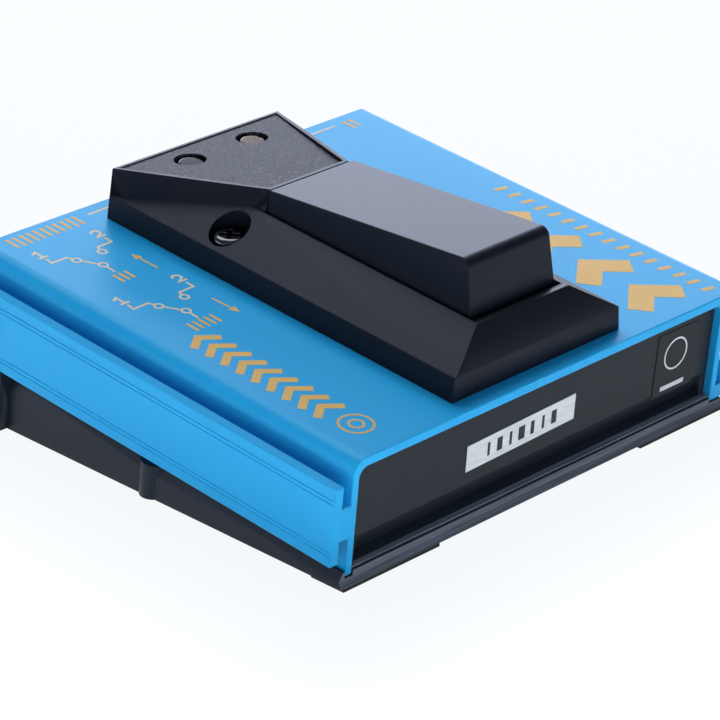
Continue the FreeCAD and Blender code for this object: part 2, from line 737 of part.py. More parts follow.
polygon(lamp_room, [
    ("-(block_near_half - shell)", "well_far + shell"), ("block_near_half - shell", "well_far + shell"),
    ("housing_half - shell * 2", "housing_far - shell"),
    ("-(housing_half - shell * 2)", "housing_far - shell"),
])
carve(housing, lamp_room, "block_far_height - indicator_recess - shell", back=True)
BOARD_UP = "(block_far_height + (housing_far - led_along) * %s - led_drop - led_height)" % FALL
hangers = draw(housing, "board_hangers", "plan", BOARD_UP)
for side in ("-", ""):
    circle(hangers, side + "indicator_post_across", "indicator_post_along", "indicator_post_radius")
grow(housing, hangers, "block_far_height - shell - %s" % BOARD_UP)
hanger_holes = draw(housing, "hanger_holes", "plan", BOARD_UP)
for side in ("-", ""):
    circle(hanger_holes, side + "indicator_post_across", "indicator_post_along",
           "board_screw_radius + screw_clearance")
carve(housing, hanger_holes, "board_screw_length - indicator_board_thickness + pilot_depth", back=True)
pin_seat = draw(housing, "hinge_seats", "side")
circle(pin_seat, "hinge_along", "hinge_height", "hinge_radius + hinge_seat")
carve(housing, pin_seat, "(hinge_half_length + hinge_end_play) * 2", middle=True)
housing_half = size("housing_half")
soften(housing, "Fillet", "housing_corner",
       lambda a, b: abs(abs(a.x) - housing_half) < 1.2 and abs(abs(b.x) - housing_half) < 1.2
       and a.y < size("slope_near") and b.y < size("slope_near")
       and abs(a.z - b.z) > size("rim_height") / 2 and max(a.z, b.z) < size("slope_near"))

# Grained indicator panel, lying in the recess of the block
plate = new_body("indicator_panel")
sheet_outline = draw_on_roof(plate, "indicator_outline", "indicator_thickness - indicator_recess")
roof_outline(sheet_outline, "indicator_fit")
grow(plate, sheet_outline, "indicator_thickness", back=True)
sheet_holes = draw_on_roof(plate, "indicator_holes")
led_holes(sheet_holes, "led_hole_radius")
carve(plate, sheet_holes, "3")

# Treadle: wedge-shaped pedal hinged at its far end, hollow beneath
treadle = new_body("treadle")
flank = draw(treadle, "treadle_flank", "side")
polygon(flank, [
    ("treadle_near", "treadle_skirt"), ("treadle_near", "deck_height"),
    ("treadle_top_near", "treadle_high"), ("treadle_far", "treadle_low"),
    ("treadle_far", "treadle_lug"), ("treadle_lug_near", "treadle_lug"),
    ("treadle_lug_near", "treadle_skirt"),
])
grow(treadle, flank, "treadle_half * 2", middle=True)
drafts = draw(treadle, "treadle_drafts", "front", "-(treadle_near - 1)")
for side in ("-", ""):
    polygon(drafts, [
        (side + "treadle_half", "deck_height"), (side + "treadle_top_half", "treadle_high + 0.2"),
        (side + "(treadle_half + 2)", "treadle_high + 0.2"), (side + "(treadle_half + 2)", "deck_height"),
    ])
carve(treadle, drafts, "treadle_far")
ROOF_FALL = "((treadle_high - treadle_low) / (treadle_far - treadle_top_near))"


def inside_roof(along):
    return "(treadle_low + (treadle_far - %s) * %s - treadle_roof)" % (along, ROOF_FALL)


hollow = draw(treadle, "treadle_hollow", "side")
polygon(hollow, [
    ("treadle_near + treadle_near_wall", "0"), ("treadle_lug_near - treadle_shell", "0"),
    ("treadle_lug_near - treadle_shell", inside_roof("(treadle_lug_near - treadle_shell)")),
    ("treadle_top_near + treadle_shell", inside_roof("(treadle_top_near + treadle_shell)")),
    ("treadle_near + treadle_near_wall", "deck_height"),
])
carve(treadle, hollow, "(treadle_half - treadle_shell) * 2", middle=True)
press = draw(treadle, "press_boss", "plan", "plunger_top + plunger_gap")
circle(press, "0", "switch_along", "press_boss_radius")
grow(treadle, press, "%s + treadle_roof / 2 - plunger_top - plunger_gap" % inside_roof("switch_along"))
stub = draw(treadle, "spring_stub", "plan", "spring_top")
circle(stub, "0", "spring_along", "spring_stub_radius")
grow(treadle, stub, "%s + treadle_roof / 2 - spring_top" % inside_roof("spring_along"))
bore = draw(treadle, "hinge_bore", "side")
circle(bore, "hinge_along", "hinge_height", "hinge_radius + hinge_running")
carve(treadle, bore, "treadle_half * 2 + 2", middle=True)
soften(treadle, "Fillet", "treadle_edge_radius",
       lambda a, b: near(a.y, size("treadle_top_near")) and near(b.y, size("treadle_top_near"))
       and near(a.z, size("treadle_high")) and near(b.z, size("treadle_high")))

# Straight-sided pieces: a drawing on one plane, grown from it
def disc(name, plane, offset, length, across, up, radius, middle=False, back=False):
    body = new_body(name)
    drawing = draw(body, name + "_disc", plane, offset)
    circle(drawing, across, up, radius)
    grow(body, drawing, length, middle=middle, back=back)
    return body


def slab(name, plane, offset, length, left, right, low_edge, high_edge, tipped=True):
    body = new_body(name, tipped)
    drawing = draw(body, name + "_slab", plane, offset)
    rectangle(drawing, left, right, low_edge, high_edge)
    grow(body, drawing, length)
    return body


# Steel hinge pin across the far end of the treadle
disc("hinge_pin", "side", "0", "hinge_half_length * 2",
     "hinge_along", "hinge_height", "hinge_radius", middle=True)

# Push-push switch on the board under the treadle, with its round plunger
switch = slab("switch_body", "plan", "-board_top", "switch_height", "-switch_half", "switch_half",
              "switch_along - switch_half", "switch_along + switch_half")
neck = draw(switch, "switch_neck", "plan", "-board_top + switch_height")
circle(neck, "0", "switch_along", "switch_neck_radius")
grow(switch, neck, "switch_neck_height")
shaft = draw(switch, "switch_shaft", "plan", "5")
circle(shaft, "0", "switch_along", "plunger_radius + plunger_fit")
carve(switch, shaft, "plunger_well + 5")
disc("switch_plunger", "plan", "-plunger_bottom", "plunger_bottom + plunger_top",
     "0", "switch_along", "plunger_radius")

# Main circuit board with holes for the posts and screws
board = new_body("circuit_board")
board_plan = draw(board, "board_plan", "plan", "-(board_top + board_thickness)")
polygon(board_plan, [
    ("-board_left", "board_near"), ("board_right", "board_near"), ("board_right", BOARD_STEP),
    (BOARD_HALF, BOARD_STEP), (BOARD_HALF, BOARD_FAR), ("-" + BOARD_HALF, BOARD_FAR),
    ("-" + BOARD_HALF, BOARD_STEP), ("-board_left", BOARD_STEP),
])
grow(board, board_plan, "board_thickness")
board_holes = draw(board, "board_holes", "plan", "0")
for side in ("-", ""):
    circle(board_holes, side + "screw_across", "screw_along", "screw_post_radius + board_hole_play")
circle(board_holes, "0", "spring_along", "spring_post_radius + board_hole_play")
for across, along in BOARD_SCREWS:
    circle(board_holes, across, along, "board_screw_radius + screw_clearance")
carve(board, board_holes, "board_top + board_thickness + 1")

# Small board that carries the two lamps under the indicator block
lamp_board = slab("indicator_board", "plan", BOARD_UP + " - indicator_board_thickness",
                  "indicator_board_thickness", "-indicator_board_half", "indicator_board_half",
                  "indicator_board_near", "indicator_board_far")
lamp_board_holes = draw(lamp_board, "indicator_board_holes", "plan", "deck_height")
for side in ("-", ""):
    circle(lamp_board_holes, side + "indicator_post_across", "indicator_post_along",
           "board_screw_radius + screw_clearance")
carve(lamp_board, lamp_board_holes, "deck_height * 2")

# Two five-millimetre lamps with flat, softly edged lenses, each with its flange on the small board
for word, side in (("green", "-"), ("amber", "")):
    lamp = disc("led_" + word, "plan", BOARD_UP, "led_height",
                side + "led_across", "led_along - led_back", "led_radius")
    flange = draw(lamp, "led_flange_" + word, "plan", BOARD_UP)
    circle(flange, side + "led_across", "led_along - led_back", "led_flange_radius")
    grow(lamp, flange, "led_flange_height")
    crown = max(edge.BoundBox.ZMax for edge in lamp.Tip.Shape.Edges)
    soften(lamp, "Fillet", "led_edge",
           lambda a, b, crown=crown: near(a.z, crown) and near(b.z, crown))

# Three jacks on the far panel: square body inside, threaded bushing through the panel
INSIDE = "case_length - panel_face - panel_thickness"
for word, across in (("left", "-jack_across"), ("middle", "0"), ("right", "jack_across")):
    jack = slab("jack_" + word, "front", "-(%s)" % INSIDE, "jack_body_length",
                across + " - jack_half", across + " + jack_half",
                "-jack_depth - jack_half", "-jack_depth + jack_half")
    bushing = draw(jack, "jack_bushing_" + word, "front", "-(%s)" % INSIDE)
    circle(bushing, across, "-jack_depth", "bushing_radius")
    grow(jack, bushing, "case_length + bushing_reach - (%s)" % INSIDE, back=True)
    mouth = draw(jack, "jack_bore_" + word, "front", "-(case_length + bushing_reach)")
    circle(mouth, across, "-jack_depth", "jack_bore_radius")
    carve(jack, mouth, "jack_bore_length", back=True)

# Two thin label plates on the near panel
serial = new_body("serial_label")
serial_face = draw(serial, "serial_face", "front", "-panel_face")
turn = FreeCAD.Rotation(FreeCAD.Vector(0, 0, 1), size("serial_turn"))
serial_face.AttachmentOffset = FreeCAD.Placement(FreeCAD.Vector(0, 0, -size("panel_face")), turn)
serial_face.setExpression("AttachmentOffset.Rotation.Angle", bound("serial_turn"))
rectangle(serial_face, "-serial_left", "-serial_left + serial_width",
          "-serial_top - serial_height", "-serial_top")
grow(serial, serial_face, "label_thickness")
slab("small_label", "front", "-panel_face", "label_thickness",
     "label_left", "label_left + label_width", "-label_top - label_height", "-label_top")

# Pieces that lie level: battery, its door and the four rubber feet
LEVEL = "(base_bottom * sin(wedge_angle * 1 deg) + %s)" % SHIFT


def level(along):
    return "((%s) / cos(wedge_angle * 1 deg) + %s)" % (along, LEVEL)


door = slab("battery_door", "plan", "foot_height", FLOOR_UP,
            "-" + DOOR_LEFT, "-" + PEG_LINE, level(DOOR_NEAR), level(DOOR_FAR), tipped=False)
PEG_UP = "(foot_height + %s / 2)" % FLOOR_UP
knuckle = draw(door, "door_knuckle", "front", "-(%s)" % level(DOOR_NEAR))
circle(knuckle, "-" + PEG_LINE, PEG_UP, FLOOR_UP + " / 2")
grow(door, knuckle, DOOR_SPAN, back=True)
pegs = draw(door, "door_pegs", "front", "-(%s - peg_length)" % level(DOOR_NEAR))
circle(pegs, "-" + PEG_LINE, PEG_UP, "peg_radius")
grow(door, pegs, DOOR_SPAN + " + peg_length * 2", back=True)
DOOR_TOP = "foot_height + " + FLOOR_UP
battery = slab("battery", "plan", DOOR_TOP, "battery_height", "-" + BATTERY_LEFT,
               "-%s + battery_width" % BATTERY_LEFT, level("battery_near"),
               level("battery_near") + " + battery_length", tipped=False)
soften(battery, "Fillet", "battery_edge",
       lambda a, b: near(a.x, b.x) and near(a.z, b.z) and abs(a.y - b.y) > size("battery_height"))
STUD_ROW = "(%s + battery_height / 2)" % DOOR_TOP
STUD_START = level("battery_near") + " + battery_length"
studs = draw(battery, "battery_studs", "front", "-(%s)" % STUD_START)
CLIP = []
for side in ("-", "+"):
    CLIP.append("(-%s + battery_width / 2 %s stud_spacing / 2)" % (BATTERY_LEFT, side))
for across in CLIP:
    circle(studs, across, STUD_ROW, "stud_radius")
grow(battery, studs, "stud_height", back=True)
clip = slab("battery_clip", "front", "-(%s + clip_thickness)" % STUD_START, "clip_thickness",
            "-%s + clip_inset" % BATTERY_LEFT, "-%s + battery_width - clip_inset" % BATTERY_LEFT,
            STUD_ROW + " - clip_half_height", STUD_ROW + " + clip_half_height", tipped=False)
clip_holes = draw(clip, "clip_holes", "front", "-(%s - 2)" % STUD_START)
for across in CLIP:
    circle(clip_holes, across, STUD_ROW, "stud_radius + clip_play")
carve(clip, clip_holes, "clip_thickness + 4")
FOOT_SIDE = "(%s - foot_side_inset)" % BASE_HALF
feet = (
    ("foot_near_left", "-%s" % FOOT_SIDE, "-%s + near_foot_length" % FOOT_SIDE,
     "-base_lip + foot_inset"),
    ("foot_near_right", FOOT_SIDE + " - near_foot_length", FOOT_SIDE, "-base_lip + foot_inset"),
    ("foot_far_left", "-%s + foot_inset" % EAR_HALF, "-%s + far_foot_length" % EAR_HALF,
     "ear_far - foot_depth - foot_inset"),
    ("foot_far_right", EAR_HALF + " - far_foot_length", EAR_HALF + " - foot_inset",
     "ear_far - foot_depth - foot_inset"),
)
for name, left, right, start in feet:
    slab(name, "plan", "0", "foot_height", left, right,
         level(start), level(start + " + foot_depth"), tipped=False)


# Fasteners and the spring are whole shapes set from code, in the case's own frame
def whole(name, shapes):
    item = doc.addObject("Part::Feature", name)
    item.Label = name
    item.Shape = shapes[0] if len(shapes) == 1 else Part.makeCompound(shapes)
    tip(item)
    return item


def screw(across, along, seat, head_radius, head_height, radius, length, up=1):
    axis = FreeCAD.Vector(0, 0, up)
    spot = FreeCAD.Vector(across, along, seat)
    head = Part.makeCylinder(head_radius, head_height, spot, axis)
    rim = [e for e in head.Edges if near(e.BoundBox.ZLength, 0) and not near(e.BoundBox.Center.z, seat)]
    head = head.makeFillet(head_height * 0.45, rim)
    stem = Part.makeCylinder(radius, length, spot, -axis)
    solid = head.fuse(stem)
    for turn in (45, 135):
        slot = Part.makeBox(head_radius * 1.25, head_radius * 0.3, head_height)
        slot.translate(FreeCAD.Vector(-head_radius * 0.625, -head_radius * 0.15, 0))
        slot.rotate(FreeCAD.Vector(0, 0, 0), FreeCAD.Vector(0, 0, 1), turn)
        floor = seat + head_height * (0.35 if up > 0 else -1.35)
        slot.translate(FreeCAD.Vector(across, along, floor))
        solid = solid.cut(slot)
    return solid


whole("housing_screws", [
    screw(side * size("screw_across"), size("screw_along"), size("screw_seat"),
          size("screw_head_radius"), size("screw_head_height"),
          size("screw_thread_radius"), size("screw_length"))
    for side in (-1, 1)
])
small = (size("board_screw_head"), size("board_screw_head_height"),
         size("board_screw_radius"), size("board_screw_length"))
inset = size("board_screw_inset")
board_half = size("inner_width") / 2 - size("board_side_gap")
board_step = (size("battery_near") + (size("battery_length") + size("clip_thickness")) * math.cos(angle)
              + size("board_battery_gap"))
places = [
    (inset - board_half, board_step + inset),
    (board_half - inset, board_step + inset),
    (inset - size("board_left"), size("board_near") + inset),
    (size("board_right") - inset, size("board_near") + inset),
]
fall = math.tan(math.radians(size("block_angle")))
board_up = (size("block_far_height") + (size("housing_far") - size("led_along")) * fall
            - size("led_drop") - size("led_height"))
screws = [screw(x, y, -size("board_top"), *small) for x, y in places]
for side in (-1, 1):
    screws.append(screw(side * size("indicator_post_across"), size("indicator_post_along"),
                        board_up - size("indicator_board_thickness"), *small, up=-1))
whole("board_screws", screws)

outer_face = size("case_length") - size("panel_face")
AXIS = FreeCAD.Vector(0, 1, 0)
washers = []
nuts = []
for across in (-size("jack_across"), 0, size("jack_across")):
    spot = FreeCAD.Vector(across, outer_face, -size("jack_depth"))
    hole = Part.makeCylinder(size("bushing_radius") + size("nut_play"), size("bushing_reach") * 2, spot, AXIS)
    disc_shape = Part.makeCylinder(size("washer_radius"), size("washer_thickness"), spot, AXIS)
    washers.append(disc_shape.cut(hole))
    ring = []
    for index in range(7):
        turn = math.radians(60 * index)
        reach = size("nut_flats") / 2 / math.cos(math.radians(30))
        ring.append(FreeCAD.Vector(across + reach * math.cos(turn), outer_face + size("washer_thickness"),
                                   -size("jack_depth") + reach * math.sin(turn)))
    hexagon = Part.Face(Part.makePolygon(ring)).extrude(AXIS * size("nut_thickness"))
    nuts.append(hexagon.cut(hole))
whole("jack_washers", washers)
whole("jack_nuts", nuts)

# Return spring: a wire swept along arcs that follow the helix, a quarter turn each
spring_low = -size("spring_bottom") + size("spring_wire")
spring_high = size("spring_top") - size("spring_wire")
rise_per_turn = (spring_high - spring_low) / size("spring_turns")


def on_helix(turns):
    angle_now = 2 * math.pi * turns
    return FreeCAD.Vector(size("spring_radius") * math.cos(angle_now),
                          size("spring_along") + size("spring_radius") * math.sin(angle_now),
                          spring_low + rise_per_turn * turns)


arcs = []
steps = int(size("spring_turns")) * 4
for index in range(steps):
    ends = on_helix(index / 4), on_helix((index + 0.5) / 4), on_helix((index + 1) / 4)
    arcs.append(Part.Arc(*ends).toShape())
path = Part.Wire(arcs)
start = on_helix(0)
ahead = arcs[0].tangentAt(arcs[0].FirstParameter)
wire = Part.Wire(Part.Edge(Part.Circle(start, ahead, size("spring_wire"))))
whole("treadle_spring", [path.makePipeShell([wire], True, False)])

doc.recompute()
names = [body.Name for body in doc.Objects if body.TypeId in ("PartDesign::Body", "Part::Feature")]
for item in doc.Objects:
    if "Invalid" in item.State or "Error" in item.State:
        raise RuntimeError("failed: " + item.Name)
for name in names:
    shape = doc.getObject(name).Shape
    if shape.isNull() or not shape.isValid() or not shape.Solids:
        raise RuntimeError("bad shape: " + name)
    shape.exportStep("parts/%s.step" % name)
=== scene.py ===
import json
import math

import bmesh
import bpy
from mathutils import Matrix, Vector


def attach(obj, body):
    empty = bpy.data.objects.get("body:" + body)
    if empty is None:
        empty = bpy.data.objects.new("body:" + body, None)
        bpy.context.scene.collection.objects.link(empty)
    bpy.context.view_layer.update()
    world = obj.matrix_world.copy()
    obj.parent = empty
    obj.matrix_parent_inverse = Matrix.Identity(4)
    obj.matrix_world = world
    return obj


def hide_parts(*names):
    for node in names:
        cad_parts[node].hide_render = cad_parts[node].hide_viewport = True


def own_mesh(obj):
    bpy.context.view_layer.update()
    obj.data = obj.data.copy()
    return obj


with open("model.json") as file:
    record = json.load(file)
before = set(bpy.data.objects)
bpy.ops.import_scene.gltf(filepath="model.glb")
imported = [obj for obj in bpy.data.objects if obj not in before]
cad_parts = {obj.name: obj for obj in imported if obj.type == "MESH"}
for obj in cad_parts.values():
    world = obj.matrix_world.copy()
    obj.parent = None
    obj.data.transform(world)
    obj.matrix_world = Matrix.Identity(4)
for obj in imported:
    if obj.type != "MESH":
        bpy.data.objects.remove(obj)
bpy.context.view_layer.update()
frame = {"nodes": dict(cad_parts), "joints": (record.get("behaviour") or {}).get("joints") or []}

MM = 0.001

# Camera, solved from the object's straight edges: millimetres and degrees in the row frame
CAMERA_AIM = Vector((-0.849, -6.043, 11.706))
CAMERA_DISTANCE = 607.83
CAMERA_AZIMUTH = 45.89
CAMERA_ELEVATION = 25.072
CAMERA_ROLL = 0.5961
CAMERA_LENS = 169.85
SENSOR_WIDTH = 36.0

# Ink lies this far above the face it is printed on, and is sunk so that no gap shows under it
INK_HIGH = 0.03
INK_LOW = -0.02


# The case stands on a wedge: the plunger slides square to the top plate, and so gives the tilt
def case_place():
    slide = next(joint for joint in frame["joints"] if joint["name"] == "plunger_slide")
    corners = [vertex.co for vertex in frame["nodes"]["case_extrusion"].data.vertices]
    edge = min(corners, key=lambda corner: corner.y)
    return Matrix.Translation((0, edge.y, edge.z)) @ Matrix.Rotation(math.asin(slide["axis"][1]), 4, "X")


CASE_MM = case_place() @ Matrix.Scale(MM, 4)


# A node's lowest and highest corner, in millimetres square to the case
def case_box(node):
    back = CASE_MM.inverted()
    spots = [back @ vertex.co for vertex in frame["nodes"][node].data.vertices]
    low = Vector([min(spot[axis] for spot in spots) for axis in range(3)])
    high = Vector([max(spot[axis] for spot in spots) for axis in range(3)])
    return low, high


def shade(text):
    channels = [int(text[start:start + 2], 16) / 255 for start in (1, 3, 5)]
    linear = [c / 12.92 if c <= 0.04045 else ((c + 0.055) / 1.055) ** 2.4 for c in channels]
    return (*linear, 1.0)


def add_node(tree, kind, inputs=None, **settings):
    node = tree.nodes.new(kind)
    for name, value in settings.items():
        setattr(node, name, value)
    for name, value in (inputs or {}).items():
        if isinstance(value, bpy.types.NodeSocket):
            tree.links.new(value, node.inputs[name])
        else:
            node.inputs[name].default_value = value
    return node


def new_material(name, **sockets):
    material = bpy.data.materials.new(name)
    material.use_nodes = True
    tree = material.node_tree
    surface = tree.nodes["Principled BSDF"]
    for socket, value in sockets.items():
        surface.inputs[socket.replace("_", " ")].default_value = value
    return material, tree, surface


# A mix node holds its colours under these numbers, behind those of its plain values
MIX_A = 6
MIX_B = 7


# One surface in real sizes: fine relief, and slow drifts of tone and gloss across the piece
def textured(tree, surface, tones, gloss, relief_mm, depth_mm, drift_mm, stretch=(1, 1, 1)):
    place = add_node(tree, "ShaderNodeTexCoord").outputs["Object"]
    drawn = add_node(tree, "ShaderNodeMapping", {"Vector": place, "Scale": stretch}).outputs[0]
    relief = add_node(tree, "ShaderNodeTexNoise",
                      {"Vector": drawn, "Scale": 1 / (relief_mm * MM), "Detail": 2.0, "Roughness": 0.5})
    drift = add_node(tree, "ShaderNodeTexNoise",
                     {"Vector": drawn, "Scale": 1 / (drift_mm * MM), "Detail": 1.0})
    mixed = add_node(tree, "ShaderNodeMix",
                     {"Factor": drift.outputs["Fac"], MIX_A: shade(tones[0]), MIX_B: shade(tones[1])},
                     data_type="RGBA")
    tree.links.new(mixed.outputs[2], surface.inputs["Base Color"])
    matt = add_node(tree, "ShaderNodeMapRange",
                    {"Value": relief.outputs["Fac"], "To Min": gloss[0], "To Max": gloss[1]})
    tree.links.new(matt.outputs[0], surface.inputs["Roughness"])
    bump = add_node(tree, "ShaderNodeBump",
                    {"Height": relief.outputs["Fac"], "Distance": depth_mm * MM, "Strength": 1.0})
    tree.links.new(bump.outputs[0], surface.inputs["Normal"])
    return relief, mixed


# Baked enamel on extruded aluminium: even satin blue with the faint ripple of sprayed paint
def blue_enamel():
    material, tree, surface = new_material("blue_enamel", Specular_IOR_Level=0.2,
                                           Specular_Tint=shade("#A8DCEC"))
    textured(tree, surface, ("#22A5E0", "#27ABE5"), (0.34, 0.4), 0.7, 0.004, 30)
    return material


# Black ABS from a spark-eroded mould: a satin skin whose fine pits break up a cool, bluish sheen
def spark_eroded_abs(name, tones, sheen):
    material, tree, surface = new_material(name, Specular_IOR_Level=sheen, Specular_Tint=shade("#D6E0FA"))
    textured(tree, surface, tones, (0.36, 0.46), 0.25, 0.006, 25)
    return material


# Black ABS panel from a smooth mould: flatter, with faint drag lines along its length
def drawn_abs_panel():
    material, tree, surface = new_material("drawn_abs_panel", Specular_IOR_Level=0.2)
    textured(tree, surface, ("#161E26", "#1A222A"), (0.44, 0.54), 0.3, 0.005, 15, (0.08, 1, 1))
    return material


# Black ABS rubbed by hands and floors: fine rubbed lines along the edge, on a paler skin that is painted
# sheen of the light the edge catches
def rubbed_abs_with_painted_sheen():
    material, tree, surface = new_material("rubbed_abs_with_painted_sheen", Specular_IOR_Level=0.4)
    textured(tree, surface, ("#202830", "#7C858E"), (0.4, 0.52), 0.4, 0.01, 0.5, (0.03, 1, 1))
    return material


# Grained vinyl sheet: pale flecks on a dark ground, each painted as the glint on the crest of a grain drawn
# twice its real size
def grained_vinyl():
    material, tree, surface = new_material("grained_vinyl", Specular_IOR_Level=0.14)
    relief, mixed = textured(tree, surface, ("#1D1F25", "#24262C"), (0.42, 0.62), 0.5, 0.03, 12)
    # The crests of the grain take a pale colour: painted glint
    glint_crest_mask = add_node(tree, "ShaderNodeMapRange",
                     {"Value": relief.outputs["Fac"], "From Min": 0.48, "From Max": 0.66})
    painted_glint_fleck = add_node(tree, "ShaderNodeMix",
                     {"Factor": glint_crest_mask.outputs[0], MIX_A: mixed.outputs[2], MIX_B: shade("#5D5E69")},
                     data_type="RGBA")
    tree.links.new(painted_glint_fleck.outputs[2], surface.inputs["Base Color"])
    return material


# Black zinc plate on steel: dark mirror with a slight haze
def black_zinc():
    material, tree, surface = new_material("black_zinc_steel", Metallic=1.0)
    textured(tree, surface, ("#54565C", "#66686E"), (0.1, 0.3), 0.45, 0.02, 3)
    return material


# Nickel plate on turned brass: warm bright metal with fine turning marks
def nickel_plate():
    material, tree, surface = new_material("nickel_plated_brass", Metallic=1.0)
    textured(tree, surface, ("#BDB9B0", "#CBC7BE"), (0.16, 0.3), 0.15, 0.002, 4)
    return material


# Plain drawn steel: grey metal with lengthwise scratches
def drawn_steel():
    material, tree, surface = new_material("drawn_steel", Metallic=1.0)
    textured(tree, surface, ("#A4A5A8", "#B2B3B6"), (0.22, 0.38), 0.15, 0.002, 5, (0.2, 1, 1))
    return material


# Diffused epoxy lamp body: clouded resin, unlit, its tones darkened as painted shade so it is nearly as
# dark as its hole, with a glint at its edge
def lamp_epoxy(name, tones):
    material, tree, surface = new_material(name, Transmission_Weight=0.2, Specular_IOR_Level=0.4)
    textured(tree, surface, tones, (0.12, 0.25), 0.8, 0.002, 2)
    return material


# Solder-resist lacquer over glass cloth: green with the weave just showing
def circuit_lacquer():
    material, tree, surface = new_material("circuit_lacquer", Coat_Weight=0.4)
    textured(tree, surface, ("#1E5A34", "#246940"), (0.25, 0.4), 0.6, 0.01, 6)
    return material


# Moulded rubber: dull black with a dusty bloom
def moulded_rubber():
    material, tree, surface = new_material("moulded_rubber")
    textured(tree, surface, ("#141414", "#1B1B1B"), (0.75, 0.9), 0.4, 0.02, 8)
    return material


# Glossy moulded plastic for switch and jack bodies
def gloss_plastic(name, tones):
    material, tree, surface = new_material(name)
    textured(tree, surface, tones, (0.2, 0.3), 0.6, 0.002, 8)
    return material


# Painted steel battery jacket: smooth grey with soft rolling marks
def battery_jacket():
    material, tree, surface = new_material("battery_jacket", Coat_Weight=0.2)
    textured(tree, surface, ("#55575B", "#606267"), (0.28, 0.4), 0.5, 0.003, 10, (1, 0.1, 1))
    return material


# Silvered polyester label: pale and softly metallic with a fine brushed grain
def silvered_label():
    material, tree, surface = new_material("silvered_label", Metallic=0.35)
    textured(tree, surface, ("#C9D0D2", "#F0F4F4"), (0.38, 0.5), 0.2, 0.002, 0.8, (0.2, 1, 1))
    return material


# Printed polyester label: flat black film with a faint tooth
def label_film(name, tones):
    material, tree, surface = new_material(name, Specular_IOR_Level=0.25)
    textured(tree, surface, tones, (0.46, 0.58), 0.3, 0.002, 6)
    return material


# Screen-print ink: matt film, slightly uneven where the mesh laid it down
def screen_ink(name, tones):
    material, tree, surface = new_material(name, Specular_IOR_Level=0.3)
    textured(tree, surface, tones, (0.5, 0.62), 0.25, 0.004, 5)
    return material


ENAMEL = blue_enamel()
PEDAL_SKIN = spark_eroded_abs("fine_eroded_abs", ("#0D1017", "#10141C"), 0.22)
# The treadle's worn top: glossier, with a slightly lighter tone as painted sheen
WORN_SKIN_AND_SHEEN = spark_eroded_abs("worn_eroded_abs_painted_sheen", ("#11151D", "#151A23"), 0.36)
TRAY_SKIN = spark_eroded_abs("coarse_eroded_abs", ("#1A2129", "#1E262E"), 0.3)
PANEL = drawn_abs_panel()
# Paler skin for the near lip and ledge: painted sheen, with rubbed lines
RUBBED_WITH_SHEEN = rubbed_abs_with_painted_sheen()
VINYL = grained_vinyl()
ZINC = black_zinc()
NICKEL = nickel_plate()
STEEL = drawn_steel()
# Lamp tones darkened as painted shade of their holes
GREEN_LAMP = lamp_epoxy("green_lamp_epoxy_painted_shade", ("#0F1613", "#19251F"))
AMBER_LAMP = lamp_epoxy("amber_lamp_epoxy_painted_shade", ("#2E2205", "#86640B"))
LACQUER = circuit_lacquer()
RUBBER = moulded_rubber()
JACK_BLACK = gloss_plastic("black_nylon", ("#121214", "#17171A"))
SWITCH_BLACK = gloss_plastic("switch_nylon", ("#1C1C20", "#222226"))
PLUNGER_WHITE = gloss_plastic("acetal", ("#DAD7CE", "#E2DFD7"))
JACKET = battery_jacket()
SILVER = silvered_label()
BLACK_LABEL = label_film("black_polyester_label", ("#12161B", "#171B21"))
GOLD_INK = screen_ink("gold_screen_ink", ("#DDAF5A", "#E5B966"))
PALE_INK = screen_ink("pale_gold_screen_ink", ("#DCCBA4", "#E6D7B4"))
WHITE_INK = screen_ink("white_screen_ink", ("#D6D8DB", "#E2E4E6"))
BLACK_INK = screen_ink("black_screen_ink", ("#24262A", "#2C2E33"))

# Nodes that keep their own mesh, all but the two lamps out of sight
PLAIN_FINISHES = {
    "hinge_pin": STEEL, "board_screws": STEEL,
    "switch_body": SWITCH_BLACK, "switch_plunger": PLUNGER_WHITE,
    "circuit_board": LACQUER, "indicator_board": LACQUER,
    "battery": JACKET, "battery_clip": PANEL,
    "led_green": GREEN_LAMP, "led_amber": AMBER_LAMP,
}


def paint(node, material):
    target = frame["nodes"][node]
    if not target.material_slots:
        target.data.materials.append(material)
    for place in target.material_slots:
        place.material = material


def link_piece(name, mesh):
    piece = bpy.data.objects.new(name, mesh)
    bpy.context.scene.collection.objects.link(piece)
    return piece


# Faces part at a sharp edge, only clear outer corners are rounded, and nearly flat faces are joined
SHARP = math.radians(30)
ROUNDED_FROM = math.radians(40)
FLAT = math.radians(0.3)
# A strip this many radii wide takes the whole radius, a narrower one its share, down to the least
ROOM_PER_RADIUS = 6.0
LEAST_ROOM = 0.15
# Points nearer than this are one
MERGED_MM = 0.0005


# Faces that meet without a sharp edge form one patch; twice its area over its outline is its width
def patch_widths(bm):
    widths = {}
    for first in bm.faces:
        if first in widths:
            continue
        patch, waiting = {first}, [first]
        while waiting:
            for edge in waiting.pop().edges:
                if len(edge.link_faces) == 2 and edge.calc_face_angle(0) < SHARP:
                    for face in edge.link_faces:
                        if face not in patch:
                            patch.add(face)
                            waiting.append(face)
        edges = {edge for face in patch for edge in face.edges}
        outline = sum(edge.calc_length() for edge in edges if not patch.issuperset(edge.link_faces))
        width = 2 * sum(face.calc_area() for face in patch) / max(outline, MM)
        for face in patch:
            widths[face] = width
    return widths


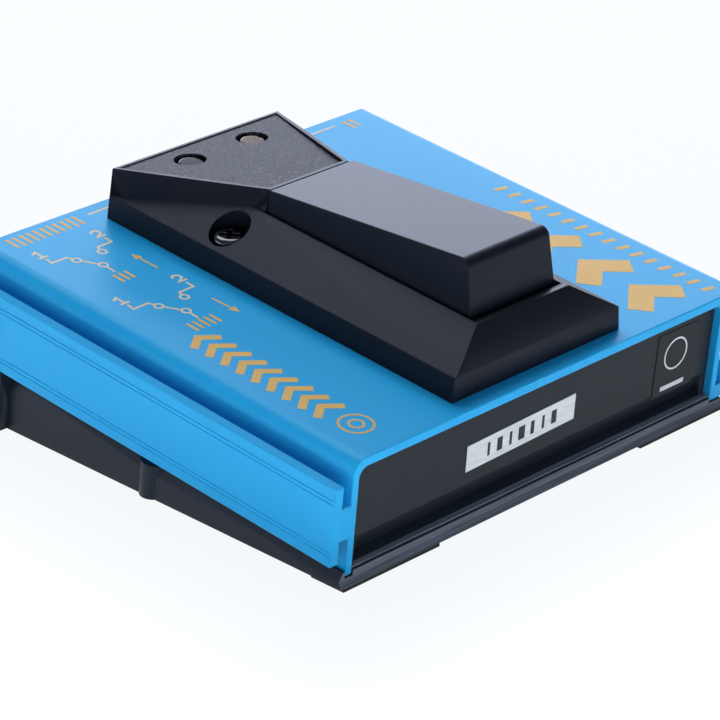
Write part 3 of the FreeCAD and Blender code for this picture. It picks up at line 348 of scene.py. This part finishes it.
# A node's own shape with its outer edges rounded by a small real radius, as moulding and paint leave them
def rounded(node, radius_mm, body, materials, segments=3, least_edge_mm=MERGED_MM):
    bm = bmesh.new()
    bm.from_mesh(frame["nodes"][node].data)
    bmesh.ops.remove_doubles(bm, verts=bm.verts, dist=MM * MERGED_MM)
    bmesh.ops.dissolve_limit(bm, angle_limit=FLAT, verts=bm.verts, edges=bm.edges)
    bmesh.ops.dissolve_degenerate(bm, edges=bm.edges, dist=MM * least_edge_mm)
    widths = patch_widths(bm)
    weight = bm.edges.layers.float.new("bevel_weight_edge")
    for edge in bm.edges:
        if len(edge.link_faces) != 2 or edge.calc_face_angle(0) < SHARP:
            continue
        room = min(widths[face] for face in edge.link_faces) / (radius_mm * MM * ROOM_PER_RADIUS)
        # Inner corners, shallow folds and strips too narrow for the radius stay crisp
        if edge.is_convex and edge.calc_face_angle(0) > ROUNDED_FROM and room > LEAST_ROOM:
            edge[weight] = min(room, 1.0)
        else:
            edge.smooth = False
    for face in bm.faces:
        face.smooth = True
        face.material_index = 0
    mesh = bpy.data.meshes.new(node + "_rounded")
    bm.to_mesh(mesh)
    bm.free()
    for material in materials:
        mesh.materials.append(material)
    piece = link_piece(node + "_rounded", mesh)
    bevel = piece.modifiers.new("edge_radius", "BEVEL")
    bevel.limit_method = "WEIGHT"
    bevel.width = radius_mm * MM
    bevel.segments = segments
    bevel.use_clamp_overlap = False
    bevel.loop_slide = False
    graph = bpy.context.evaluated_depsgraph_get()
    piece.data = bpy.data.meshes.new_from_object(piece.evaluated_get(graph))
    piece.modifiers.clear()
    flat = piece.modifiers.new("flat_faces", "WEIGHTED_NORMAL")
    flat.keep_sharp = True
    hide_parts(node)
    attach(piece, body)
    return piece


# Sharper corners than this cosine are cut short
SHORTEST_MITRE = 0.4


# A strip of even width along points, mitred at its corners, as a thin closed film of ink
def ribbon(bm, points, width, closed=False):
    points = [Vector(point) for point in points]
    count = len(points)
    sides = []
    for index, point in enumerate(points):
        runs = []
        if closed or index > 0:
            runs.append((point - points[index - 1]).normalized())
        if closed or index < count - 1:
            runs.append((points[(index + 1) % count] - point).normalized())
        along = sum(runs, Vector((0, 0))).normalized()
        reach = width / 2 / max(along.dot(runs[0]), SHORTEST_MITRE)
        across = Vector((-along.y, along.x)) * reach
        sides.append((point + across, point - across))
    rings = []
    for left, right in sides:
        rings.append([bm.verts.new((spot.x, spot.y, height))
                      for spot, height in ((left, INK_HIGH), (right, INK_HIGH),
                                           (right, INK_LOW), (left, INK_LOW))])
    steps = count if closed else count - 1
    for index in range(steps):
        here, there = rings[index], rings[(index + 1) % count]
        for corner in range(4):
            after = (corner + 1) % 4
            bm.faces.new((here[corner], here[after], there[after], there[corner]))
    if not closed:
        bm.faces.new(rings[0])
        bm.faces.new(rings[-1])


# A flat shape of ink with the given corners
def film(bm, corners):
    top = [bm.verts.new((x, y, INK_HIGH)) for x, y in corners]
    bottom = [bm.verts.new((x, y, INK_LOW)) for x, y in corners]
    bm.faces.new(top)
    bm.faces.new(bottom)
    for index in range(len(corners)):
        after = (index + 1) % len(corners)
        bm.faces.new((top[index], top[after], bottom[after], bottom[index]))


# Points on a circle, or on a part of it in degrees
def around(centre, radius, start=0.0, stop=360.0, count=24):
    whole = abs(stop - start) >= 360
    steps = count if whole else count - 1
    spots = []
    for index in range(count):
        turn = math.radians(start + (stop - start) * index / steps)
        spots.append((centre[0] + radius * math.cos(turn), centre[1] + radius * math.sin(turn)))
    return spots


def numeral_one(bm, left, low, width, height, stroke):
    stem = left + width * 0.55
    ribbon(bm, [(left + width * 0.1, low + height * 0.74), (stem, low + height - stroke / 2),
                (stem, low + stroke)], stroke)
    ribbon(bm, [(left + width * 0.1, low + stroke / 2), (left + width, low + stroke / 2)], stroke)


def numeral_two(bm, left, low, width, height, stroke):
    half = (width - stroke) / 2
    centre = (left + width / 2, low + height - stroke / 2 - half)
    bow = around(centre, half, 170, -35, 9)
    ribbon(bm, bow + [(left + stroke * 0.7, low + stroke / 2), (left + width, low + stroke / 2)], stroke)


# The two switch diagrams: line width, ring radius, the step from the far one to the near one, numerals
DIAGRAM_LINE = 0.45
DIAGRAM_RING = 0.8
DIAGRAM_PITCH = 21.4
MARK_HEIGHT = 2.8
MARK_STROKE = 0.5


def switch_diagram(bm, nearer):
    def at(x, y):
        return (x, y - nearer)
    ribbon(bm, [at(-40.8, 83.4), at(-41.0, 81.6), at(-37.6, 81.7), at(-37.1, 80.7)], DIAGRAM_LINE)
    ribbon(bm, [at(-27.0, 83.4), at(-27.0, 81.5), at(-30.4, 81.4), at(-30.8, 80.6)], DIAGRAM_LINE)
    for spot in ((-36.8, 79.8), (-34.15, 75.7), (-30.95, 79.6)):
        ribbon(bm, around(at(*spot), DIAGRAM_RING), DIAGRAM_LINE * 0.9, closed=True)
    ribbon(bm, [at(-36.2, 78.9), at(-34.75, 76.5)], DIAGRAM_LINE)
    ribbon(bm, [at(-34.15, 74.8), at(-34.3, 72.5)], DIAGRAM_LINE)
    numeral_one(bm, -42.0, 83.9 - nearer, 2.3, MARK_HEIGHT, MARK_STROKE)
    numeral_two(bm, -28.2, 84.0 - nearer, 2.2, MARK_HEIGHT, MARK_STROKE)


ARROW_HEAD = 2.0
ARROW_HALF = 0.85
ARROW_SHAFT = 0.4


def arrow(bm, tail, tip):
    tail, tip = Vector(tail), Vector(tip)
    along = (tip - tail).normalized()
    across = Vector((-along.y, along.x))
    neck = tip - along * ARROW_HEAD
    ribbon(bm, [tail, neck], ARROW_SHAFT)
    film(bm, [tip, neck + across * ARROW_HALF, neck - across * ARROW_HALF])


# Slanted chevrons in a row along the plate, in the place and size of its broad print
def chevrons(bm, left, right, start, count, pitch, depth, stroke):
    middle = (left + right) / 2
    for index in range(count):
        foot = start + index * pitch
        ribbon(bm, [(left, foot), (middle, foot + depth), (right, foot)], stroke)


# Upright strokes side by side, the way a scale is marked
def tally(bm, left, low, count, pitch, height, stroke):
    for index in range(count):
        across = left + stroke / 2 + index * pitch
        ribbon(bm, [(across, low), (across, low + height)], stroke)


def print_mesh(name, bm, place, material):
    bmesh.ops.recalc_face_normals(bm, faces=bm.faces)
    bmesh.ops.transform(bm, matrix=place, verts=bm.verts)
    mesh = bpy.data.meshes.new(name)
    bm.to_mesh(mesh)
    bm.free()
    mesh.materials.append(material)
    piece = link_piece(name, mesh)
    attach(piece, "case")


def print_plate():
    bm = bmesh.new()
    for nearer in (0.0, DIAGRAM_PITCH):
        switch_diagram(bm, nearer)
    ribbon(bm, [(-23.3, 92.05), (40.3, 92.05)], DIAGRAM_LINE)
    print_mesh("plate_lines", bm, CASE_MM, PALE_INK)
    bm = bmesh.new()
    arrow(bm, (-27.25, 69.0), (-27.45, 75.8))
    arrow(bm, (-27.5, 54.9), (-27.1, 48.25))
    tally(bm, -35.7, 68.8, 3, 1.3, 3.0, 0.55)
    tally(bm, -37.6, 47.8, 5, 1.35, 3.0, 0.55)
    tally(bm, -42.0, 89.6, 11, 1.55, 3.6, 0.6)
    tally(bm, 42.5, 89.2, 2, 1.5, 3.4, 0.6)
    chevrons(bm, -42.3, -35.9, 14.0, 9, 3.7, 2.4, 1.5)
    ribbon(bm, around((-38.6, 8.7), 3.0, count=40), 0.45, closed=True)
    ribbon(bm, around((-38.6, 8.7), 1.3, count=32), 0.45, closed=True)
    chevrons(bm, 29.8, 41.6, 5.6, 4, 12.2, 4.8, 4.6)
    print_mesh("plate_print", bm, CASE_MM, GOLD_INK)


# On the face of a label X runs across it, Y up it and Z out of the near panel
def label_place(node, turn_degrees=0.0):
    low, high = case_box(node)
    centre = Vector(((low.x + high.x) / 2, low.y, (low.z + high.z) / 2))
    return (CASE_MM @ Matrix.Translation(centre) @ Matrix.Rotation(math.radians(90), 4, "X")
            @ Matrix.Rotation(math.radians(turn_degrees), 4, "Z"))


# The silver label is set on a little crooked and carries upright strokes of mixed widths
SERIAL_TURN = 1.6
STROKE_WIDTHS = (0.6, 1.3, 0.6, 1.6, 0.9, 0.6, 1.3)
STROKE_PITCH = 2.75
STROKE_HALF_HEIGHT = 1.3


def print_labels():
    bm = bmesh.new()
    for index, width in enumerate(STROKE_WIDTHS):
        across = (index - (len(STROKE_WIDTHS) - 1) / 2) * STROKE_PITCH
        ribbon(bm, [(across, -STROKE_HALF_HEIGHT), (across, STROKE_HALF_HEIGHT)], width)
    print_mesh("serial_strokes", bm, label_place("serial_label", SERIAL_TURN), BLACK_INK)
    bm = bmesh.new()
    ribbon(bm, around((0, 1.4), 3.0, count=40), 0.35, closed=True)
    ribbon(bm, [(-3.2, -5.0), (3.2, -5.0)], 0.9)
    print_mesh("label_ring", bm, label_place("small_label"), WHITE_INK)


# A mesh grown by a small node tree whose named inputs are real sizes
def grown(name, sizes, build, material):
    tree = bpy.data.node_groups.new(name + "_tree", "GeometryNodeTree")
    tree.interface.new_socket("Geometry", in_out="OUTPUT", socket_type="NodeSocketGeometry")
    keys = {}
    for label, value in sizes.items():
        kind = "NodeSocketInt" if isinstance(value, int) else "NodeSocketFloat"
        keys[label] = tree.interface.new_socket(label, in_out="INPUT", socket_type=kind).identifier
    given = add_node(tree, "NodeGroupInput").outputs
    shape = build(tree, given)
    real = add_node(tree, "GeometryNodeRealizeInstances", {"Geometry": shape})
    finished = add_node(tree, "GeometryNodeSetMaterial",
                        {"Geometry": real.outputs[0], "Material": material})
    add_node(tree, "NodeGroupOutput", {"Geometry": finished.outputs[0]})
    piece = link_piece(name, bpy.data.meshes.new(name))
    modifier = piece.modifiers.new("sizes", "NODES")
    modifier.node_group = tree
    for label, value in sizes.items():
        modifier[keys[label]] = value
    graph = bpy.context.evaluated_depsgraph_get()
    mesh = bpy.data.meshes.new_from_object(piece.evaluated_get(graph))
    piece.modifiers.clear()
    piece.data = mesh
    return piece


# Slanted ticks in a row along the local X axis
def tick_row(tree, given):
    line = add_node(tree, "GeometryNodeMeshLine", {"Count": given["Count"]})
    step = add_node(tree, "ShaderNodeCombineXYZ", {"X": given["Step"]})
    tree.links.new(step.outputs[0], line.inputs["Offset"])
    size = add_node(tree, "ShaderNodeCombineXYZ",
                    {"X": given["Width"], "Y": given["Height"], "Z": given["Film"]})
    tick = add_node(tree, "GeometryNodeMeshCube", {"Size": size.outputs[0]})
    slant = add_node(tree, "ShaderNodeCombineXYZ", {"Z": given["Slant"]})
    placed = add_node(tree, "GeometryNodeInstanceOnPoints",
                      {"Points": line.outputs[0], "Instance": tick.outputs[0],
                       "Rotation": slant.outputs[0]})
    return placed.outputs[0]


# A helical ridge about the local Z axis, once for each jack along the local X axis
def thread_ridges(tree, given):
    coil = add_node(tree, "GeometryNodeCurveSpiral",
                    {"Resolution": 32, "Rotations": given["Turns"], "Start Radius": given["Radius"],
                     "End Radius": given["Radius"], "Height": given["Length"]})
    section = add_node(tree, "GeometryNodeCurvePrimitiveCircle",
                       {"Resolution": 6, "Radius": given["Ridge"]})
    ridge = add_node(tree, "GeometryNodeCurveToMesh",
                     {"Curve": coil.outputs[0], "Profile Curve": section.outputs[0],
                      "Fill Caps": True})
    line = add_node(tree, "GeometryNodeMeshLine", {"Count": given["Jacks"]})
    step = add_node(tree, "ShaderNodeCombineXYZ", {"X": given["Spread"]})
    tree.links.new(step.outputs[0], line.inputs["Offset"])
    placed = add_node(tree, "GeometryNodeInstanceOnPoints",
                      {"Points": line.outputs[0], "Instance": ridge.outputs[0]})
    return placed.outputs[0]


def print_tick_row():
    sizes = {"Count": 16, "Step": 3.35, "Width": 1.0, "Height": 2.8,
             "Film": INK_HIGH - INK_LOW, "Slant": math.radians(-14)}
    piece = grown("plate_ticks", sizes, tick_row, GOLD_INK)
    middle = (INK_HIGH + INK_LOW) / 2
    piece.data.transform(CASE_MM @ Matrix.Translation((46.0, 3.6, middle))
                         @ Matrix.Rotation(math.radians(90), 4, "Z"))
    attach(piece, "case")


THREAD_PITCH = 0.75
THREAD_RIDGE = 0.2
THREAD_RADIUS = 4.6


# Thread ridges on the three bushings, between the nut and the mouth
def cut_jack_threads():
    nut_low, nut_high = case_box("jack_nuts")
    jacks = [case_box("jack_" + word) for word in ("left", "middle", "right")]
    centres = [(low + high) / 2 for low, high in jacks]
    length = jacks[0][1].y - nut_high.y - THREAD_RIDGE * 4
    sizes = {"Jacks": len(jacks), "Spread": centres[1].x - centres[0].x, "Radius": THREAD_RADIUS,
             "Ridge": THREAD_RIDGE, "Length": length, "Turns": length / THREAD_PITCH}
    piece = grown("jack_threads", sizes, thread_ridges, NICKEL)
    height = (nut_low.z + nut_high.z) / 2
    place = Matrix.Translation((centres[0].x, nut_high.y + THREAD_RIDGE * 2, height))
    piece.data.transform(CASE_MM @ place @ Matrix.Rotation(math.radians(-90), 4, "X"))
    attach(piece, "case")


# A face lies past a line, in millimetres along the case, only when it does so by more than this
PAST = 0.05


# Faces chosen by their place along the case or by how far they face up take a piece's second material
def refinish(piece, chosen):
    back = CASE_MM.inverted()
    for face in piece.data.polygons:
        if chosen((back @ face.center).y, face.normal.z):
            face.material_index = 1


# A jack's bushing is plated metal outside the panel and its body black nylon inside
def dress_jack(node):
    piece = rounded(node, 0.2, "case", (JACK_BLACK, NICKEL))
    inner_face = case_box("end_panel_far")[0].y
    refinish(piece, lambda along, up: along > inner_face + PAST)


# The near panel's flat face lies this far in from the case's near end
PANEL_FACE = 1.4


# The tray's near lip and the panel's ledge stand out furthest, so they are the rubbed ones, and their paler
# skin is painted sheen
def dress_ends():
    near_end = case_box("case_extrusion")[0].y
    tray = rounded("base_moulding", 0.15, "case", (TRAY_SKIN, RUBBED_WITH_SHEEN))
    refinish(tray, lambda along, up: along < near_end)
    panel = rounded("end_panel_near", 0.12, "case", (PANEL, RUBBED_WITH_SHEEN))
    refinish(panel, lambda along, up: along < PANEL_FACE - PAST)


# The return spring shortens along its own axis as the treadle goes down on it; here it only gets rounded
# ends and a mesh of its own
def dress_spring():
    piece = rounded("treadle_spring", 0.05, "case", (STEEL,), segments=1)
    piece.modifiers.clear()
    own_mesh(piece)


# Faces whose normal points up by more than this are the treadle's worn top, glossier and with a slightly
# lighter tone that is painted sheen
TOP_FACING = 0.95


def dress_nodes():
    for node, material in PLAIN_FINISHES.items():
        paint(node, material)
    rounded("case_extrusion", 0.25, "case", (ENAMEL,))
    dress_ends()
    dress_spring()
    rounded("end_panel_far", 0.12, "case", (PANEL,))
    rounded("pedal_housing", 0.15, "case", (PEDAL_SKIN,), least_edge_mm=0.1)
    rounded("indicator_panel", 0.1, "case", (VINYL,))
    # The upward faces take the lighter skin: painted sheen on the worn top
    treadle = rounded("treadle", 0.25, "treadle", (PEDAL_SKIN, WORN_SKIN_AND_SHEEN), segments=4)
    refinish(treadle, lambda along, up: up > TOP_FACING)
    rounded("battery_door", 0.15, "door", (TRAY_SKIN,))
    rounded("serial_label", 0.03, "case", (SILVER,), segments=1)
    rounded("small_label", 0.03, "case", (BLACK_LABEL,), segments=1)
    rounded("housing_screws", 0.03, "case", (ZINC,), segments=2)
    rounded("jack_washers", 0.1, "case", (NICKEL,))
    rounded("jack_nuts", 0.15, "case", (NICKEL,))
    for end in ("near", "far"):
        for side in ("left", "right"):
            rounded("foot_%s_%s" % (end, side), 0.15, "case", (RUBBER,))
    for word in ("left", "middle", "right"):
        dress_jack("jack_" + word)


# The white of the photograph's ground, how much of it the floor gives off as seen, and its side in metres
GROUND_WHITE = "#FBFDFF"
FLOOR_GLOW = 0.94
FLOOR_SIDE = 8.0


# A pale floor that shows as the white ground of the photograph and keeps a faint shadow
def lay_floor():
    bpy.ops.mesh.primitive_plane_add(size=FLOOR_SIDE, location=(0, 0, 0))
    floor = bpy.context.object
    floor.name = "floor"
    material, tree, surface = new_material("pale_floor", Roughness=0.9)
    surface.inputs["Base Color"].default_value = shade("#F4F5F6")
    path = add_node(tree, "ShaderNodeLightPath")
    seen = add_node(tree, "ShaderNodeMath",
                    {0: path.outputs["Is Camera Ray"], 1: path.outputs["Is Glossy Ray"]},
                    operation="MAXIMUM")
    seen = add_node(tree, "ShaderNodeMath",
                    {0: seen.outputs[0], 1: path.outputs["Is Transmission Ray"]}, operation="MAXIMUM")
    share = add_node(tree, "ShaderNodeMath", {0: seen.outputs[0], 1: FLOOR_GLOW}, operation="MULTIPLY")
    glow = add_node(tree, "ShaderNodeEmission", {"Color": shade(GROUND_WHITE), "Strength": 1.0})
    mixed = add_node(tree, "ShaderNodeMixShader", {"Fac": share.outputs[0]})
    tree.links.new(surface.outputs[0], mixed.inputs[1])
    tree.links.new(glow.outputs[0], mixed.inputs[2])
    tree.links.new(mixed.outputs[0], tree.nodes["Material Output"].inputs["Surface"])
    floor.data.materials.append(material)


LAMP_AIM = Vector((0, 0, 0.02))


# Azimuth runs from +Y towards +X, so 46 degrees is straight behind the object as the camera sees it
def round_about(azimuth, elevation, distance):
    turn, rise = math.radians(azimuth), math.radians(elevation)
    towards = Vector((math.sin(turn) * math.cos(rise), math.cos(turn) * math.cos(rise), math.sin(rise)))
    return LAMP_AIM + towards * distance


def soft_box(name, place, width, height, radiance, tint="#FFFFFF", aim=LAMP_AIM, spread=180):
    lamp = bpy.data.lights.new(name, "AREA")
    lamp.color = shade(tint)[:3]
    lamp.shape = "RECTANGLE"
    lamp.size = width
    lamp.size_y = height
    lamp.spread = math.radians(spread)
    lamp.energy = radiance * math.pi * width * height
    holder = bpy.data.objects.new(name, lamp)
    bpy.context.scene.collection.objects.link(holder)
    holder.location = place
    holder.rotation_euler = (place - aim).to_track_quat("Z", "Y").to_euler()


WASH_HEIGHT = 0.25
WASH_SPREAD = 12


# A gridded lamp straight above the floor beside the object, so that its sides are lit from below
def floor_wash(name, across, along, width, length, radiance):
    place = Vector((across, along, WASH_HEIGHT))
    soft_box(name, place, width, length, radiance, aim=Vector((across, along, 0)), spread=WASH_SPREAD)


def light_studio():
    soft_box("back_softbox", round_about(50, 17, 0.9), 1.0, 0.32, 6.4, tint="#DEE6FA")
    soft_box("top_softbox", round_about(28, 62, 0.9), 0.8, 0.6, 3.7)
    soft_box("front_left_fill", round_about(305, 2, 1.1), 0.8, 0.25, 2.6)
    soft_box("front_right_fill", round_about(200, 6, 1.1), 0.8, 0.25, 5.5)
    floor_wash("left_floor_wash", -0.115, -0.03, 0.07, 0.24, 2.2)
    floor_wash("near_floor_wash", -0.03, -0.115, 0.24, 0.07, 2.2)
    # The sky gives a cool, dim light all round and is itself seen as the white ground
    world = bpy.data.worlds.new("studio")
    bpy.context.scene.world = world
    world.use_nodes = True
    tree = world.node_tree
    path = add_node(tree, "ShaderNodeLightPath")
    strength = add_node(tree, "ShaderNodeMapRange",
                        {"Value": path.outputs["Is Camera Ray"], "To Min": 0.26, "To Max": 1.0})
    tint = add_node(tree, "ShaderNodeMix",
                    {"Factor": path.outputs["Is Camera Ray"], MIX_A: shade("#C6D8FF"),
                     MIX_B: shade(GROUND_WHITE)},
                    data_type="RGBA")
    ground = tree.nodes["Background"]
    tree.links.new(tint.outputs[2], ground.inputs["Color"])
    tree.links.new(strength.outputs[0], ground.inputs["Strength"])


def set_camera():
    azimuth, elevation = math.radians(CAMERA_AZIMUTH), math.radians(CAMERA_ELEVATION)
    ahead = Vector((math.sin(azimuth) * math.cos(elevation), math.cos(azimuth) * math.cos(elevation),
                    -math.sin(elevation)))
    level = Vector((math.cos(azimuth), -math.sin(azimuth), 0))
    up = level.cross(ahead)
    roll = math.radians(CAMERA_ROLL)
    right = level * math.cos(roll) + up * math.sin(roll)
    over = up * math.cos(roll) - level * math.sin(roll)
    data = bpy.data.cameras.new("camera")
    data.lens = CAMERA_LENS
    data.sensor_width = SENSOR_WIDTH
    data.clip_start = 0.01
    camera = bpy.data.objects.new("camera", data)
    bpy.context.scene.collection.objects.link(camera)
    place = Matrix((right, over, -ahead)).transposed().to_4x4()
    place.translation = (CAMERA_AIM - ahead * CAMERA_DISTANCE) * MM
    camera.matrix_world = place
    bpy.context.scene.camera = camera


dress_nodes()
print_plate()
print_tick_row()
print_labels()
cut_jack_threads()
lay_floor()
light_studio()
set_camera()
bpy.context.scene.view_settings.view_transform = "Standard"

bpy.context.view_layer.update()
